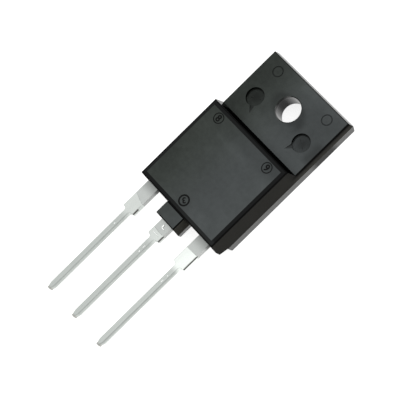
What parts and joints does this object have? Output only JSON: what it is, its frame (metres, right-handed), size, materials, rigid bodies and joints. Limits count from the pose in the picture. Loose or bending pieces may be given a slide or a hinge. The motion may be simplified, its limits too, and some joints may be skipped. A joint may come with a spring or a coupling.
{
  "type": "power transistor",
  "caption": "Fully moulded power transistor with a thin mounting tab, a stepped body and straight flat leads that narrow a little way out of the case.",
  "frame": {"origin": "on the axis of the mounting hole, at the flat back face", "axes": "+Z out of the marked front, square to the back face; +Y from the hole towards the tab end, so the leads point along -Y; +X to the right when the front is seen with the leads down"},
  "size_m": [0.0154, 0.0445, 0.0055],
  "materials": {
    "epoxy": "fine matt moulding, polished rim",
    "tinned": "matt tin plating over copper",
    "silicon": "metallised silicon, sealed inside",
    "solder": "dull solder, sealed inside",
    "wire": "drawn aluminium wire, sealed inside"
  },
  "bodies": {
    "root": {"moulded_case": "epoxy", "collector_frame": "tinned", "base_lead": "tinned", "emitter_lead": "tinned", "silicon_die": "silicon", "die_solder": "solder", "base_wire": "wire", "emitter_wire_a": "wire", "emitter_wire_b": "wire"}
  },
  "joints": []
}
